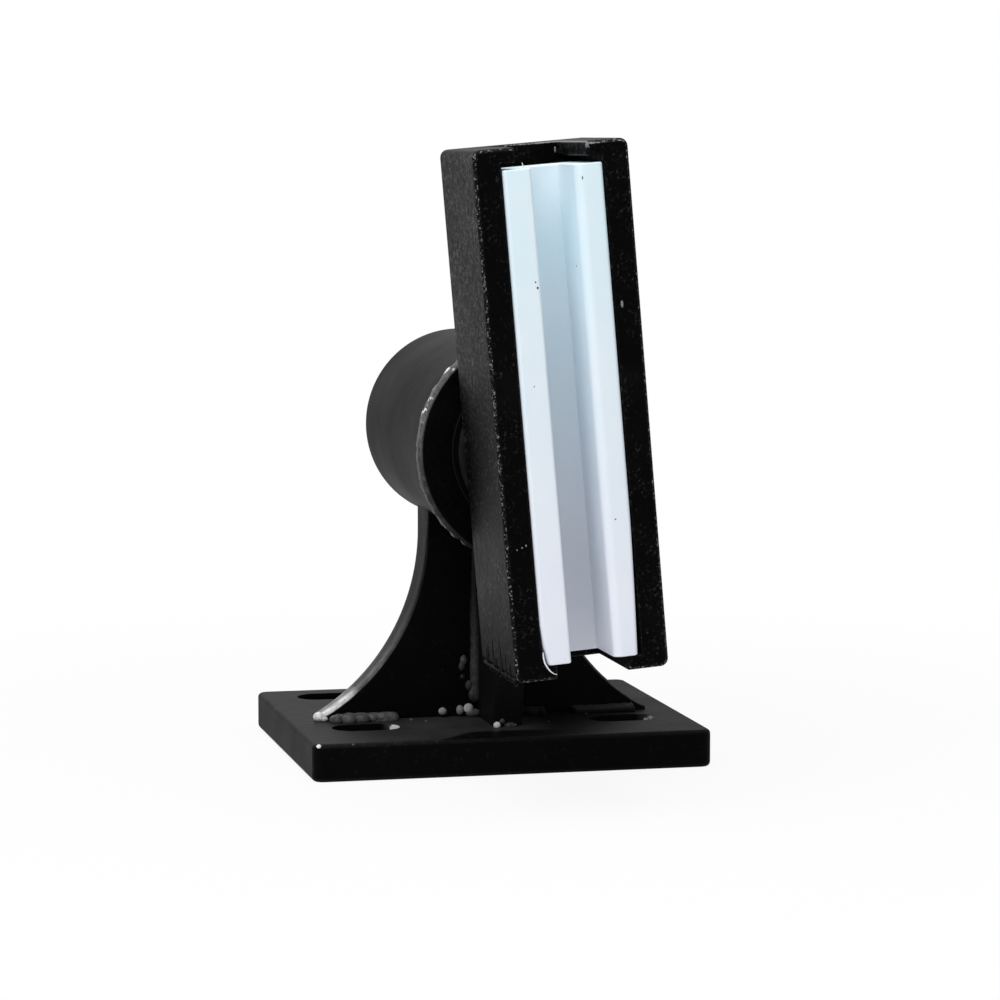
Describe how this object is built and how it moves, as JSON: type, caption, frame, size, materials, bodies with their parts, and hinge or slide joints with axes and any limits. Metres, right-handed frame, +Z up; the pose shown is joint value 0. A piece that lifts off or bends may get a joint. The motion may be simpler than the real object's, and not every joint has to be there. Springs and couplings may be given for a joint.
{
  "type": "elevator guide shoe",
  "caption": "Sliding guide shoe for a lift car: a welded pedestal with a slotted base plate carries a swivelling head whose white channel liner runs on the guide rail.",
  "frame": {"origin": "middle of the base plate's underside", "axes": "+Z up from the base plate, -Y to the front, where the liner opens to the rail, +X to the right as seen from the front"},
  "size_m": [0.107, 0.1613, 0.1657],
  "materials": {
    "black_paint": "rough black paint",
    "weld_paint": "painted weld bead",
    "steel": "turned",
    "rubber": "matt",
    "white_plastic": "smooth",
    "bush_plastic": "turned"
  },
  "bodies": {
    "pedestal": {"base_plate": "black_paint", "web_plate": "black_paint", "front_rib": "black_paint", "barrel": "black_paint", "barrel_cover": "black_paint", "rear_ring": "black_paint", "foot_weld": "weld_paint", "rib_weld": "weld_paint", "saddle_weld": "weld_paint", "cover_weld": "weld_paint", "front_bush": "bush_plastic", "rear_bush": "bush_plastic", "thrust_washer": "steel"},
    "head": {"head_block": "black_paint", "liner": "white_plastic", "liner_pad": "rubber", "stem": "steel", "stem_weld": "weld_paint", "rubber_ring": "rubber", "rear_washer": "steel", "castle_nut": "steel", "split_pin": "steel"}
  },
  "joints": [
    {"name": "head_swivel", "type": "hinge", "parent": "pedestal", "child": "head", "pos_m": [0, -0.09, 0.087], "axis": [0, -1, 0], "continuous": true}
  ]
}
